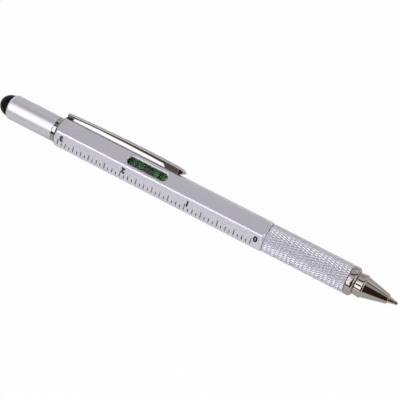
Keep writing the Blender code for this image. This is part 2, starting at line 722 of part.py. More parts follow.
def twist_housing():
    """Fixed in the barrel. Its helical slot moves the cam pin along as the drive turns."""
    obj = tube("twist_housing", HOUSING_REAR, HOUSING_FRONT, HOUSING_DIAMETER, HOUSING_BORE)
    radius = (HOUSING_DIAMETER + HOUSING_BORE) / 4
    path_length = math.hypot(TWIST_TURN * radius, REFILL_TRAVEL)
    overshoot = CAM_SLOT_WIDTH / 2 / path_length
    curve = bpy.data.curves.new("helical_slot", "CURVE")
    curve.dimensions = "3D"
    curve.bevel_depth = CAM_SLOT_WIDTH / 2
    curve.bevel_resolution = CAM_SLOT_FACETS
    curve.use_fill_caps = True
    spline = curve.splines.new("POLY")
    spline.points.add(CAM_SLOT_STEPS)
    for i, point in enumerate(spline.points):
        share = -overshoot + (1 + 2 * overshoot) * i / CAM_SLOT_STEPS
        angle = -TWIST_TURN * share
        station = CAM_PIN_STATION - REFILL_TRAVEL * share
        point.co = (station, -radius * math.sin(angle), radius * math.cos(angle), 1)
    cut(obj, closed_mesh("helical_slot", curve, cutters))
    return obj


def twist_drive():
    """Turns with the grip. The cam pin slides in its straight slot."""
    flange_front = DRIVE_REAR + DRIVE_FLANGE_LENGTH
    front = GRIP_REAR + DRIVE_REACH
    outer = [
        (DRIVE_REAR, DRIVE_FLANGE_DIAMETER),
        (flange_front, DRIVE_FLANGE_DIAMETER),
        (flange_front, DRIVE_DIAMETER),
        (front, DRIVE_DIAMETER),
    ]
    obj = turned("twist_drive", outer, [(DRIVE_REAR, DRIVE_BORE), (front, DRIVE_BORE)])
    slot = outline_solid(
        "straight_slot", stadium(REFILL_TRAVEL + 2 * CAM_SLOT_WIDTH, CAM_SLOT_WIDTH), DRIVE_DIAMETER, cutters
    )
    slot.location = (CAM_PIN_STATION - REFILL_TRAVEL / 2, 0, DRIVE_DIAMETER / 2 + DRIVE_WALL)
    cut(obj, slot)
    return obj


def refill_carrier():
    floor = REFILL_REAR - SEAM
    pocket = REFILL_DIAMETER + 2 * PRESS_FIT
    outer = [(CARRIER_REAR, 0), (CARRIER_REAR, CARRIER_DIAMETER), (CARRIER_FRONT, CARRIER_DIAMETER)]
    obj = turned("refill_carrier", outer, [(floor, 0), (floor, pocket), (CARRIER_FRONT, pocket)])
    hole = upright_rod("cam_pin_hole", CAM_PIN_DIAMETER + 2 * PRESS_FIT, CARRIER_DIAMETER, cutters)
    hole.location = (CAM_PIN_STATION, 0, CAM_PIN_FOOT - SEAM + CARRIER_DIAMETER / 2)
    cut(obj, hole)
    return obj


def cam_pin():
    top = HOUSING_DIAMETER / 2 - RUNNING_FIT
    obj = upright_rod("cam_pin", CAM_PIN_DIAMETER, top - CAM_PIN_FOOT, parts)
    obj.location = (CAM_PIN_STATION, 0, (top + CAM_PIN_FOOT) / 2)
    return obj


def refill_tube():
    front = POINT_REAR + POINT_STEM_LENGTH - SEAM
    return tube("refill_tube", REFILL_REAR, front, REFILL_DIAMETER, REFILL_BORE, REFILL_STEPS)


def refill_ink():
    front = POINT_REAR - SEAM
    rear = front - REFILL_INK_SHARE * (front - REFILL_REAR)
    return rod("refill_ink", rear, front, REFILL_BORE - 2 * PRESS_FIT, REFILL_STEPS)


def refill_point():
    """The metal point. Its stem sits in the refill's tube, and its front end holds the ball."""
    stem_front = POINT_REAR + POINT_STEM_LENGTH
    stem = REFILL_BORE - 2 * PRESS_FIT
    cup = BALL_DIAMETER + 2 * PRESS_FIT
    cup_floor = POINT_FRONT - BALL_DIAMETER / 2 - PRESS_FIT
    outer = [
        (POINT_REAR, stem),
        (stem_front, stem),
        (stem_front, REFILL_DIAMETER),
        (POINT_FRONT - POINT_CONE_LENGTH, REFILL_DIAMETER),
        (POINT_FRONT, POINT_FRONT_DIAMETER),
    ]
    bore = [(POINT_REAR, POINT_CHANNEL), (cup_floor, POINT_CHANNEL), (cup_floor, cup), (POINT_FRONT, cup)]
    return turned("refill_point", outer, bore, REFILL_STEPS)


def writing_ball():
    shape = bmesh.new()
    radius = BALL_DIAMETER / 2
    bmesh.ops.create_uvsphere(shape, u_segments=BALL_SEGMENTS, v_segments=BALL_RINGS, radius=radius)
    obj = from_bmesh("writing_ball", shape, parts)
    obj.location = (POINT_FRONT, 0, 0)
    return obj


def nose_ring():
    """A bead between the grip and the cone."""
    front = NOSE_RING_REAR + NOSE_RING_LENGTH
    crest_start, crest_end = (NOSE_RING_REAR + NOSE_RING_LENGTH * share for share in NOSE_RING_CREST_SHARES)
    back = rounded((NOSE_RING_REAR, NOSE_RING_REAR_DIAMETER), (crest_start, NOSE_RING_DIAMETER), 2)
    face = rounded((front, NOSE_RING_FRONT_DIAMETER), (crest_end, NOSE_RING_DIAMETER), NOSE_RING_STEPS)
    bore = [(NOSE_RING_REAR, GRIP_FRONT_BORE), (front, GRIP_FRONT_BORE)]
    return turned("nose_ring", [*back, *reversed(face)], bore, OUTSIDE_STEPS)


def nose_cone():
    shank_rear = GRIP_FRONT - NOSE_SHANK_LENGTH
    swell, edge = (NOSE_BAND_REAR + NOSE_BAND_LENGTH * share for share in NOSE_BAND_SHARES)
    lip = NOSE_FRONT - NOSE_LIP_LENGTH
    outer = [
        (shank_rear, NOSE_SHANK_DIAMETER),
        (NOSE_BAND_REAR, NOSE_SHANK_DIAMETER),
        (NOSE_BAND_REAR, NOSE_BAND_REAR_DIAMETER),
        (swell, NOSE_BAND_DIAMETER),
        (edge, NOSE_BAND_DIAMETER),
        (NOSE_CONE_REAR, NOSE_CONE_REAR_DIAMETER),
        (lip, NOSE_LIP_DIAMETER),
        (NOSE_FRONT, NOSE_LIP_DIAMETER - 2 * NOSE_LIP_CHAMFER),
    ]
    return turned("nose_cone", outer, [(shank_rear, NOSE_BORE), (NOSE_FRONT, NOSE_BORE)], OUTSIDE_STEPS)


def settle(obj):
    """Applies the modifiers and shades the round faces smooth."""
    graph = bpy.context.evaluated_depsgraph_get()
    mesh = bpy.data.meshes.new_from_object(obj.evaluated_get(graph))
    mesh.shade_smooth()
    mesh.set_sharp_from_angle(angle=SMOOTH_ANGLE)
    mesh.name = obj.name
    obj.modifiers.clear()
    obj.data = mesh


anodised = finish("anodised_aluminium", (0.60, 0.59, 0.64), 0.34, 1.0)
turned_aluminium = finish("turned_aluminium", (0.66, 0.65, 0.67), 0.28, 1.0)
chrome = finish("chrome", (0.75, 0.74, 0.74), 0.08, 1.0)
steel = finish("steel", (0.48, 0.48, 0.50), 0.3, 1.0)
brass = finish("brass", (0.72, 0.55, 0.25), 0.3, 1.0)
magnet = finish("magnet", (0.4, 0.4, 0.42), 0.35, 1.0)
black_rubber = finish("black_rubber", (0.01, 0.01, 0.011), 0.55)
black_plastic = finish("black_plastic", (0.02, 0.02, 0.02), 0.45)
white_plastic = finish("white_plastic", (0.75, 0.75, 0.72), 0.5)
clear_plastic = finish("clear_plastic", (0.85, 0.92, 0.88), 0.05)
green_liquid = finish("green_liquid", (0.02, 0.22, 0.06), 0.05)
bubble_air = finish("bubble_air", (0.25, 0.45, 0.28), 0.02)
blue_ink = finish("ink", (0.01, 0.01, 0.03), 0.3)

pieces = [
    (barrel(), anodised),
    (clip_collar(), chrome),
    (clip(), chrome),
    (bit_holder(), chrome),
    (bit_magnet(), magnet),
    (screwdriver_bit(), steel),
    (cap_tube(), turned_aluminium),
    (cap_insert(), brass),
    (stylus_dome(), black_rubber),
    (stylus_plug(), black_plastic),
    (level_vial(), clear_plastic),
    (vial_plug(), black_plastic),
    (vial_liquid(), green_liquid),
    (level_bubble(), bubble_air),
    (level_spacer("level_spacer_rear", HOLDER_FRONT + SEAM, VIAL_REAR - SEAM), white_plastic),
    (level_spacer("level_spacer_front", VIAL_FRONT + SEAM, DRIVE_REAR - SEAM), white_plastic),
    (twist_housing(), white_plastic),
    (twist_drive(), black_plastic),
    (refill_carrier(), white_plastic),
    (cam_pin(), steel),
    (refill_tube(), steel),
    (refill_ink(), blue_ink),
    (refill_point(), chrome),
    (writing_ball(), steel),
    (grip_sleeve(), turned_aluminium),
    (grip_bush(), brass),
    (nose_ring(), chrome),
    (nose_cone(), chrome),
]

bpy.context.view_layer.update()
for piece, material in pieces:
    settle(piece)
    piece.data.materials.clear()
    piece.data.materials.append(material)
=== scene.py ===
"""Multi tool pen: hexagonal ruler barrel with a bubble level, pocket clip, screw cap with a soft
tip, a bit under the cap, knurled twist grip and a ball pen point. Metres, pen along X."""

import math

import bmesh
import bpy
from mathutils import Matrix, Vector


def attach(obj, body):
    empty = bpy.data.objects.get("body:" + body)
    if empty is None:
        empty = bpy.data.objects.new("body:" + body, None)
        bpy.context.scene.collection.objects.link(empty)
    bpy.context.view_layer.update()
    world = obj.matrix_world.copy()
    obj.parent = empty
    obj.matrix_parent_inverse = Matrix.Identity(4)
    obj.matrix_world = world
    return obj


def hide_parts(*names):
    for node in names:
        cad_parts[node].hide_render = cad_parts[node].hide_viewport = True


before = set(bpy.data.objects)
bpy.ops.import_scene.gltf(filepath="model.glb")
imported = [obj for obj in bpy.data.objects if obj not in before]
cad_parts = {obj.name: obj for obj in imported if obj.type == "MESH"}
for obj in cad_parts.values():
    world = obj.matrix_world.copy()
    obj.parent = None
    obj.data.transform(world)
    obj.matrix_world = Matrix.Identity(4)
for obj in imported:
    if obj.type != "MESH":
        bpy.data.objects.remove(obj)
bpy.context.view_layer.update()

# ---- Barrel ----
# A drawn hexagonal aluminium bar: bored through, faced and chamfered on the lathe, blasted and
# anodised silver. The window over the level is milled in the top flat and has a bright lip.
MM = 0.001
FLATS = 10.2
AXIS = FLATS / 2
BARREL_LENGTH = 82.0
BARREL_BORE = 7.5
BARREL_ENDS = ((-41.0, 9.95, 0.7), (41.0, 9.95, 1.05))
EDGE_BEVEL = 0.45
WINDOW_CENTRE = -5.6
WINDOW_LENGTH = 16.3
WINDOW_WIDTH = 4.0
WINDOW_LIP = 0.35
WINDOW_DEPTH = 2.5
BORE_REACH = 3.9
BORE_END = 40.9
MARK_DETAIL = 3
TONE_PATCHES = 90
ROUGH_FROM, ROUGH_TO = 0.3, 0.7


def deselect_all():
    if bpy.context.mode != "OBJECT":
        bpy.ops.object.mode_set(mode="OBJECT")
    bpy.ops.object.select_all(action="DESELECT")


def begin(name):
    """Names the primitive just added, applies its place and opens it for modelling."""
    obj = bpy.context.object
    obj.name = obj.data.name = name
    bpy.ops.object.transform_apply(location=True, rotation=True, scale=True)
    bpy.ops.object.mode_set(mode="EDIT")
    bpy.ops.mesh.select_all(action="SELECT")
    return obj


def pick(kind, rule):
    """Selects the points, edges or faces of the piece in hand that the rule holds for."""
    bpy.ops.mesh.select_mode(type=kind)
    bpy.ops.mesh.select_all(action="DESELECT")
    mesh = bmesh.from_edit_mesh(bpy.context.object.data)
    items = {"VERT": mesh.verts, "EDGE": mesh.edges, "FACE": mesh.faces}[kind]
    for item in items:
        if rule(item):
            item.select_set(True)
    mesh.select_flush_mode()
    bmesh.update_edit_mesh(bpy.context.object.data)


def resize(along, across, up, x):
    """Scales the selection about the pen's axis at a station."""
    bpy.ops.transform.resize(value=(along, across, up), center_override=(x * MM, 0, AXIS * MM))


def turn(name, profile, bore=(), steps=96, closed=True):
    """A turned piece: a ring drawn along (station, diameter) in mm, and back through its bore."""
    deselect_all()
    path = [*profile, *reversed(bore)]
    x, diameter = path[0]
    bpy.ops.mesh.primitive_circle_add(
        vertices=steps,
        radius=diameter / 2 * MM,
        location=(x * MM, 0, AXIS * MM),
        rotation=(0, math.pi / 2, 0),
    )
    obj = begin(name)
    for next_x, next_diameter in path[1:]:
        bpy.ops.mesh.extrude_edges_move(TRANSFORM_OT_translate={"value": ((next_x - x) * MM, 0, 0)})
        if next_diameter == 0:
            bpy.ops.mesh.merge(type="CENTER")
        elif next_diameter != diameter:
            resize(1, next_diameter / diameter, next_diameter / diameter, next_x)
        x, diameter = next_x, next_diameter
    bpy.ops.mesh.select_mode(type="EDGE")
    bpy.ops.mesh.select_all(action="DESELECT")
    bpy.ops.mesh.select_non_manifold()
    if bore:
        bpy.ops.mesh.bridge_edge_loops()
    elif closed:
        bpy.ops.mesh.fill_holes(sides=0)
    bpy.ops.mesh.select_all(action="SELECT")
    bpy.ops.mesh.normals_make_consistent(inside=False)
    deselect_all()
    return obj


def add_and_apply(obj, kind, **settings):
    """Adds one modifier with these settings and applies it."""
    deselect_all()
    obj.select_set(True)
    bpy.context.view_layer.objects.active = obj
    modifier = obj.modifiers.new(kind.title(), kind)
    for key, value in settings.items():
        setattr(modifier, key, value)
    bpy.ops.object.modifier_apply(modifier=modifier.name)


def carve(obj, tool, operation="DIFFERENCE"):
    add_and_apply(obj, "BOOLEAN", object=tool, operation=operation, solver="EXACT")
    bpy.data.objects.remove(tool)


def complete(obj, body, finish, node=None, angle=32, flat_faces=False):
    """Merges, turns the faces outwards, shades, gives the finish, hangs the piece on its body."""
    deselect_all()
    obj.select_set(True)
    bpy.context.view_layer.objects.active = obj
    bpy.ops.object.mode_set(mode="EDIT")
    bpy.ops.mesh.select_all(action="SELECT")
    bpy.ops.mesh.remove_doubles(threshold=0.0002 * MM)
    bpy.ops.mesh.normals_make_consistent(inside=False)
    bpy.ops.object.mode_set(mode="OBJECT")
    bpy.ops.object.shade_smooth_by_angle(angle=math.radians(angle))
    if flat_faces:
        add_and_apply(obj, "WEIGHTED_NORMAL", keep_sharp=True)
    obj.data.materials.clear()
    obj.data.materials.append(finish)
    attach(obj, body)
    if node:
        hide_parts(node)


def worked_surface():
    """Shared pattern: fine marks left by the work, over a slow change of tone."""
    group = bpy.data.node_groups.new("worked_surface", "ShaderNodeTree")
    sockets = group.interface
    for label, kind in (
        ("Marks", "NodeSocketVector"),
        ("Light tone", "NodeSocketColor"),
        ("Dark tone", "NodeSocketColor"),
        ("Smoothest", "NodeSocketFloat"),
        ("Roughest", "NodeSocketFloat"),
    ):
        sockets.new_socket(label, in_out="INPUT", socket_type=kind)
    for label, kind in (
        ("Tone", "NodeSocketColor"),
        ("Roughness", "NodeSocketFloat"),
        ("Height", "NodeSocketFloat"),
    ):
        sockets.new_socket(label, in_out="OUTPUT", socket_type=kind)
    nodes, links = group.nodes, group.links
    given = nodes.new("NodeGroupInput")
    result = nodes.new("NodeGroupOutput")
    place = nodes.new("ShaderNodeTexCoord")
    stretch = nodes.new("ShaderNodeVectorMath")
    stretch.operation = "MULTIPLY"
    fine = nodes.new("ShaderNodeTexNoise")
    fine.inputs["Scale"].default_value = 1
    fine.inputs["Detail"].default_value = MARK_DETAIL
    slow = nodes.new("ShaderNodeTexNoise")
    slow.inputs["Scale"].default_value = TONE_PATCHES
    both = nodes.new("ShaderNodeMath")
    both.operation = "MULTIPLY_ADD"
    both.inputs[1].default_value = 0.5
    half = nodes.new("ShaderNodeMath")
    half.operation = "MULTIPLY"
    half.inputs[1].default_value = 0.5
    tone = nodes.new("ShaderNodeMix")
    tone.data_type = "RGBA"
    rough = nodes.new("ShaderNodeMapRange")
    rough.inputs["From Min"].default_value = ROUGH_FROM
    rough.inputs["From Max"].default_value = ROUGH_TO
    links.new(place.outputs["Object"], stretch.inputs[0])
    links.new(given.outputs["Marks"], stretch.inputs[1])
    links.new(stretch.outputs[0], fine.inputs["Vector"])
    links.new(place.outputs["Object"], slow.inputs["Vector"])
    links.new(slow.outputs["Fac"], half.inputs[0])
    links.new(fine.outputs["Fac"], both.inputs[0])
    links.new(half.outputs[0], both.inputs[2])
    links.new(both.outputs[0], tone.inputs["Factor"])
    links.new(given.outputs["Light tone"], tone.inputs["A"])
    links.new(given.outputs["Dark tone"], tone.inputs["B"])
    links.new(both.outputs[0], rough.inputs["Value"])
    links.new(given.outputs["Smoothest"], rough.inputs["To Min"])
    links.new(given.outputs["Roughest"], rough.inputs["To Max"])
    links.new(tone.outputs["Result"], result.inputs["Tone"])
    links.new(rough.outputs["Result"], result.inputs["Roughness"])
    links.new(fine.outputs["Fac"], result.inputs["Height"])
    return group


WORKED = worked_surface()


def finish(name, light, dark, gloss, marks, relief, metallic=1.0, **sockets):
    """Two tones, smoothest and roughest, marks per metre each way, and their depth in mm."""
    material = bpy.data.materials.new(name)
    material.use_nodes = True
    nodes, links = material.node_tree.nodes, material.node_tree.links
    shader = nodes["Principled BSDF"]
    shader.inputs["Metallic"].default_value = metallic
    for key, value in sockets.items():
        shader.inputs[key.replace("_", " ")].default_value = value
    pattern = nodes.new("ShaderNodeGroup")
    pattern.node_tree = WORKED
    pattern.inputs["Marks"].default_value = marks
    pattern.inputs["Light tone"].default_value = (*light, 1)
    pattern.inputs["Dark tone"].default_value = (*dark, 1)
    pattern.inputs["Smoothest"].default_value, pattern.inputs["Roughest"].default_value = gloss
    bump = nodes.new("ShaderNodeBump")
    bump.inputs["Distance"].default_value = relief * MM
    links.new(pattern.outputs["Tone"], shader.inputs["Base Color"])
    links.new(pattern.outputs["Roughness"], shader.inputs["Roughness"])
    links.new(pattern.outputs["Height"], bump.inputs["Height"])
    links.new(bump.outputs["Normal"], shader.inputs["Normal"])
    return material


anodised = finish(
    "anodised_aluminium", (0.7, 0.695, 0.765), (0.62, 0.615, 0.685),
    gloss=(0.34, 0.42), marks=(9000,) * 3, relief=0.004,
)
milled = finish(
    "milled_aluminium", (0.8, 0.8, 0.83), (0.72, 0.72, 0.75),
    gloss=(0.5, 0.6), marks=(600, 9000, 9000), relief=0.002,
)

deselect_all()
bpy.ops.mesh.primitive_cylinder_add(
    vertices=6,
    radius=FLATS / math.sqrt(3) * MM,
    depth=BARREL_LENGTH * MM,
    location=(0, 0, AXIS * MM),
    rotation=(0, math.pi / 2, 0),
)
barrel = begin("hexagonal_barrel")
pick("EDGE", lambda edge: abs(edge.verts[0].co.x - edge.verts[1].co.x) > MM)
bpy.ops.mesh.bevel(offset=EDGE_BEVEL * MM, segments=5, affect="EDGES")
corners = FLATS * 2 / math.sqrt(3)
(rear, rear_d, rear_c), (front, front_d, front_c) = BARREL_ENDS
beyond = 1 + 1.0 / (corners - rear_d)
envelope = turn(
    "turned_ends",
    [
        (rear, rear_d),
        (rear + rear_c * beyond, rear_d + (corners - rear_d) * beyond),
        (front - front_c * beyond, front_d + (corners - front_d) * beyond),
        (front, front_d),
    ],
)
carve(barrel, envelope, "INTERSECT")
carve(barrel, turn("bore", [(rear - 1, BARREL_BORE), (front + 1, BARREL_BORE)]))

deselect_all()
bpy.ops.mesh.primitive_plane_add(size=MM, location=(WINDOW_CENTRE * MM, 0, FLATS * MM))
window = begin("window_cutter")
bpy.ops.transform.resize(
    value=(WINDOW_LENGTH, WINDOW_WIDTH, 1), center_override=(WINDOW_CENTRE * MM, 0, FLATS * MM)
)
bpy.ops.mesh.bevel(offset=WINDOW_WIDTH / 2 * MM, segments=14, affect="VERTICES")
bpy.ops.mesh.select_all(action="SELECT")
bpy.ops.mesh.remove_doubles(threshold=0.001 * MM)
bpy.ops.mesh.extrude_region_move(TRANSFORM_OT_translate={"value": (0, 0, 1 * MM)})
pick("FACE", lambda face: face.calc_center_median().z < (FLATS + 0.01) * MM)
bpy.ops.mesh.inset(thickness=WINDOW_LIP * MM, depth=0)
bpy.ops.transform.translate(value=(0, 0, -WINDOW_LIP * MM))
bpy.ops.mesh.extrude_region_move(TRANSFORM_OT_translate={"value": (0, 0, -WINDOW_DEPTH * MM)})
bpy.ops.mesh.select_all(action="SELECT")
bpy.ops.mesh.normals_make_consistent(inside=False)
deselect_all()
carve(barrel, window)
complete(barrel, "barrel", anodised, "barrel", flat_faces=True)


def second_finish(obj, material, rule):
    """Gives the faces that the rule holds for another finish."""
    obj.data.materials.append(material)
    bpy.ops.object.mode_set(mode="EDIT")
    pick("FACE", rule)
    obj.active_material_index = len(obj.data.materials) - 1
    bpy.ops.object.material_slot_assign()
    deselect_all()


def on_lip(face):
    middle = face.calc_center_median()
    over = middle.z > (FLATS - WINDOW_LIP) * MM and abs(middle.y) < WINDOW_WIDTH / 2 * MM
    return over and 0.3 < face.normal.z < 0.95


second_finish(barrel, milled, on_lip)
# Painted shade: the bore's faces are painted near black, for the shade inside the barrel that the
# window shows.
painted_shade_bore = finish(
    "painted_shade_bore", (0.03, 0.03, 0.032), (0.02, 0.02, 0.022),
    gloss=(0.4, 0.5), marks=(3000,) * 3, relief=0.002,
)


def in_bore(face):
    middle = face.calc_center_median()
    across = math.hypot(middle.y, middle.z - AXIS * MM)
    return across < BORE_REACH * MM and abs(middle.x) < BORE_END * MM


second_finish(barrel, painted_shade_bore, in_bore)

# ---- Printed ruler ----
# Three inches in sixteenths, pad printed in dark ink on the flat beside the window. The marks
# stand on the lower edge, and the numerals read from the other side of the pen.
RULER_TILT = math.radians(60)
SIXTEENTH = 25.4 / 16
RULER_START = 37.0
MARK_FOOT = 2.05
MARK_WIDTH = 0.3
MARK_ROUND = 0.06
INK_HEIGHT = 0.012
INCH, HALF_QUARTER, SHORT = 2.32, 1.7, 1.2
NUMERALS = (("0", 38.4, 0.74), ("1", 12.38, 0.86), ("2", -12.94, 0.92), ("3", -38.03, 0.94))
NUMERAL_SIZE = 2.77
NUMERAL_WEIGHT = 0.2

ink = finish(
    "printed_ink", (0.012, 0.012, 0.018), (0.02, 0.02, 0.028),
    gloss=(0.45, 0.55), marks=(7000,) * 3, relief=0.002,
    metallic=0.0, Specular_IOR_Level=0.25,
)


def lay_on_flat(obj, tilt):
    """Turns what was made flat at z = 0 onto the barrel's flat at that tilt, and applies it."""
    deselect_all()
    obj.select_set(True)
    bpy.context.view_layer.objects.active = obj
    obj.rotation_euler = (tilt, 0, 0)
    obj.location = (0, -math.sin(tilt) * AXIS * MM, (1 + math.cos(tilt)) * AXIS * MM)
    bpy.ops.object.transform_apply(location=True, rotation=True, scale=True)


rows = []
for length, first, every, count in ((INCH, 0, 4, 13), (HALF_QUARTER, 2, 4, 12), (SHORT, 1, 2, 24)):
    deselect_all()
    place = ((RULER_START - first * SIXTEENTH) * MM, (length / 2 - MARK_FOOT) * MM, 0)
    bpy.ops.mesh.primitive_plane_add(size=MM, location=place)
    row = begin(f"marks_{length}")
    bpy.ops.transform.resize(value=(MARK_WIDTH, length, 1), center_override=place)
    bpy.ops.mesh.bevel(offset=MARK_ROUND * MM, segments=2, affect="VERTICES")
    bpy.ops.mesh.select_all(action="SELECT")
    bpy.ops.mesh.extrude_region_move(TRANSFORM_OT_translate={"value": (0, 0, INK_HEIGHT * MM)})
    bpy.ops.object.mode_set(mode="OBJECT")
    add_and_apply(
        row,
        "ARRAY",
        count=count,
        use_relative_offset=False,
        use_constant_offset=True,
        constant_offset_displace=(-every * SIXTEENTH * MM, 0, 0),
    )
    rows.append(row)
for numeral, station, height in NUMERALS:
    deselect_all()
    bpy.ops.object.text_add(location=(station * MM, height * MM, 0), rotation=(0, 0, math.pi))
    text = bpy.context.object
    text.data.body = numeral
    text.data.size = NUMERAL_SIZE * MM
    text.data.align_x, text.data.align_y = "CENTER", "CENTER"
    text.data.offset = NUMERAL_WEIGHT * MM
    text.data.extrude = INK_HEIGHT / 2 * MM
    bpy.ops.object.convert(target="MESH")
    bpy.ops.object.transform_apply(location=True, rotation=True, scale=True)
    rows.append(bpy.context.object)
deselect_all()
for row in rows:
    row.select_set(True)
bpy.context.view_layer.objects.active = rows[0]
bpy.ops.object.join()
ruler = bpy.context.object
ruler.name = ruler.data.name = "printed_ruler"
lay_on_flat(ruler, RULER_TILT)
complete(ruler, "barrel", ink)

# ---- Bit holder and its magnet ----
# A turned steel sleeve pressed into the rear of the barrel, bright plated. The cap screws on its
# neck, and a small magnet at the bottom of its hexagonal socket holds the bit.
chrome = finish(
    "bright_chrome", (0.41, 0.375, 0.355), (0.37, 0.335, 0.315),
    gloss=(0.04, 0.08), marks=(1500,) * 3, relief=0.0005,
)
dark_chrome = finish(
    "dark_chrome", (0.5, 0.46, 0.45), (0.44, 0.4, 0.39),
    gloss=(0.05, 0.1), marks=(1500,) * 3, relief=0.0005,
)
magnet = finish(
    "magnet", (0.36, 0.36, 0.38), (0.3, 0.3, 0.32),
    gloss=(0.3, 0.45), marks=(5000,) * 3, relief=0.003,
)


def refinish(finish_of):
    """Gives CAD nodes that stay as they are their finish."""
    for node, material in finish_of.items():
        for material_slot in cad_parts[node].material_slots:
            material_slot.material = material


refinish({"bit_holder": chrome, "bit_magnet": magnet})

# ---- Screwdriver bit ----
# Hexagonal tool steel, 4 mm across flats, with a cross point to the rear and a blade to the
# front. Ground at both ends and left with a grey satin finish.
tool_steel = finish(
    "tool_steel", (0.44, 0.44, 0.46), (0.36, 0.36, 0.38),
    gloss=(0.25, 0.4), marks=(9000, 900, 900), relief=0.004,
)
refinish({"screwdriver_bit": tool_steel})

# ---- Level ----
# A clear moulded vial with two black rings, filled with green liquid round a bubble and closed
# with a plug. A plastic spacer at each end keeps it under the window.
VIAL = (-14.6, 3.4, 7.3)
VIAL_BORE = 5.6
VIAL_FLOOR = 1.2
VIAL_STEPS = 64
VIAL_RINGS = (-10.05, -1.0)
RING_WIDTH = 0.45
LIQUID_FRONT = 0.7
LIQUID_TOP = 1.9
BUBBLE = (-6.0, 5.0, 3.6, 1.2)
BUBBLE_TOP = 2.6
BUBBLE_UNDERSIDE = (0.94, 0.9, 0.9)

clear = finish(
    "clear_acrylic", (0.96, 1.0, 0.97), (0.92, 0.98, 0.94),
    gloss=(0.0, 0.02), marks=(400,) * 3, relief=0.0,
    metallic=0.0, Transmission_Weight=1.0, IOR=1.35,
)
nodes, links = clear.node_tree.nodes, clear.node_tree.links
rays = nodes.new("ShaderNodeLightPath")
through = nodes.new("ShaderNodeBsdfTransparent")
mix = nodes.new("ShaderNodeMixShader")
links.new(rays.outputs["Is Shadow Ray"], mix.inputs["Fac"])
links.new(nodes["Principled BSDF"].outputs[0], mix.inputs[1])
links.new(through.outputs[0], mix.inputs[2])
links.new(mix.outputs[0], nodes["Material Output"].inputs["Surface"])
liquid_green = finish(
    "green_liquid", (0.02, 0.16, 0.03), (0.012, 0.09, 0.02),
    gloss=(0.1, 0.2), marks=(700,) * 3, relief=0.0,
    metallic=0.0,
)
# Painted shade: the air bubble is a solid painted dark olive, for the shade seen through it in the
# liquid.
bubble_painted_shade = finish(
    "bubble", (0.02, 0.024, 0.008), (0.035, 0.03, 0.012),
    gloss=(0.1, 0.2), marks=(300,) * 3, relief=0.0,
    metallic=0.0,
)
vial_ink = finish(
    "vial_ink", (0.003, 0.004, 0.003), (0.006, 0.007, 0.006),
    gloss=(0.4, 0.5), marks=(6000,) * 3, relief=0.001,
    metallic=0.0, Specular_IOR_Level=0.1,
)
white_plastic = finish(
    "white_plastic", (0.72, 0.72, 0.69), (0.66, 0.66, 0.63),
    gloss=(0.4, 0.5), marks=(2500,) * 3, relief=0.002,
    metallic=0.0,
)
plug_green = finish(
    "plug_plastic", (0.16, 0.22, 0.05), (0.1, 0.15, 0.03),
    gloss=(0.3, 0.4), marks=(2500,) * 3, relief=0.002,
    metallic=0.0,
)

rear, front, outside = VIAL
floor = rear + VIAL_FLOOR
vial = turn(
    "level_vial_clear",
    [(rear, outside - 0.4), (rear + 0.2, outside), (front - 0.15, outside), (front, outside - 0.3)],
    [(floor, VIAL_BORE), (front, VIAL_BORE)],
    steps=VIAL_STEPS,
)
complete(vial, "barrel", clear, "level_vial")

liquid = turn(
    "level_liquid",
    [
        (floor + 0.05, VIAL_BORE - 0.6),
        (floor + 0.25, VIAL_BORE - 0.04),
        (LIQUID_FRONT - 0.2, VIAL_BORE - 0.04),
        (LIQUID_FRONT, VIAL_BORE - 0.3),
    ],
    steps=VIAL_STEPS,
)
bpy.context.view_layer.objects.active = liquid
bpy.ops.object.mode_set(mode="EDIT")
bpy.ops.mesh.select_all(action="SELECT")
bpy.ops.mesh.bisect(
    plane_co=(0, 0, (AXIS + LIQUID_TOP) * MM), plane_no=(0, 0, 1), use_fill=True, clear_outer=True
)
deselect_all()
complete(liquid, "barrel", liquid_green, "vial_liquid")

centre, length, width, depth = BUBBLE
bubble_place = (centre * MM, 0, (AXIS + BUBBLE_TOP - depth / 2) * MM)
deselect_all()
bpy.ops.mesh.primitive_uv_sphere_add(
    segments=48, ring_count=24, radius=MM / 2, location=bubble_place
)
bubble = begin("level_bubble_air")
bpy.ops.transform.resize(value=(length, width, depth), center_override=bubble_place)
pick("VERT", lambda point: point.co.z < bubble_place[2])
bpy.ops.transform.resize(value=BUBBLE_UNDERSIDE, center_override=bubble_place)
complete(bubble, "bubble", bubble_painted_shade, "level_bubble")

for number, station in enumerate(VIAL_RINGS):
    ring_rear, ring_front = station - RING_WIDTH / 2, station + RING_WIDTH / 2
    ring = turn(
        f"vial_ring_{number}",
        [
            (ring_rear, outside + 0.01),
            (ring_rear + 0.02, outside + 0.06),
            (ring_front - 0.02, outside + 0.06),
            (ring_front, outside + 0.01),
        ],
        [(ring_rear, outside + 0.004), (ring_front, outside + 0.004)],
        steps=VIAL_STEPS,
    )
    complete(ring, "barrel", vial_ink)
refinish(
    {
        "vial_plug": plug_green,
        "level_spacer_rear": white_plastic,
        "level_spacer_front": white_plastic,
    }
)

# ---- Clip and its collar ----
# Pressed from one sheet of steel, folded to a channel, bright plated. The collar is clamped
# between barrel and holder; the clip starts at its lug and ends in a foot that meets the barrel.
CLIP_TILT = math.radians(-60)
CLIP_REAR = -40.75
CLIP_SHEET = 0.5
CLIP_LENGTH = 46.5
CLIP_WIDTHS = (3.6, 4.7)
CLIP_BACK = (
    (0, 2.0), (2.8, 2.12), (10.8, 2.41), (18.8, 2.63), (22.8, 2.72), (30.8, 2.74), (38.8, 2.66),
    (42.8, 2.56), (44.8, 2.36), (45.7, 2.16), (46.2, 1.96), (46.5, 1.5),
)
CLIP_EDGE = (
    (0, 1.0), (2.8, 1.0), (4.8, 1.15), (8.8, 1.35), (12.8, 1.45), (24.8, 1.45), (32.8, 1.36),
    (38.8, 1.22), (40.0, 0.1), (44.7, 0.1), (46.4, 1.1), (46.5, 1.3),
)
HOLLOW_END = 44.2
CLIP_FOLD = 0.5
END_LENGTH, END_NARROWING = 2, 0.28
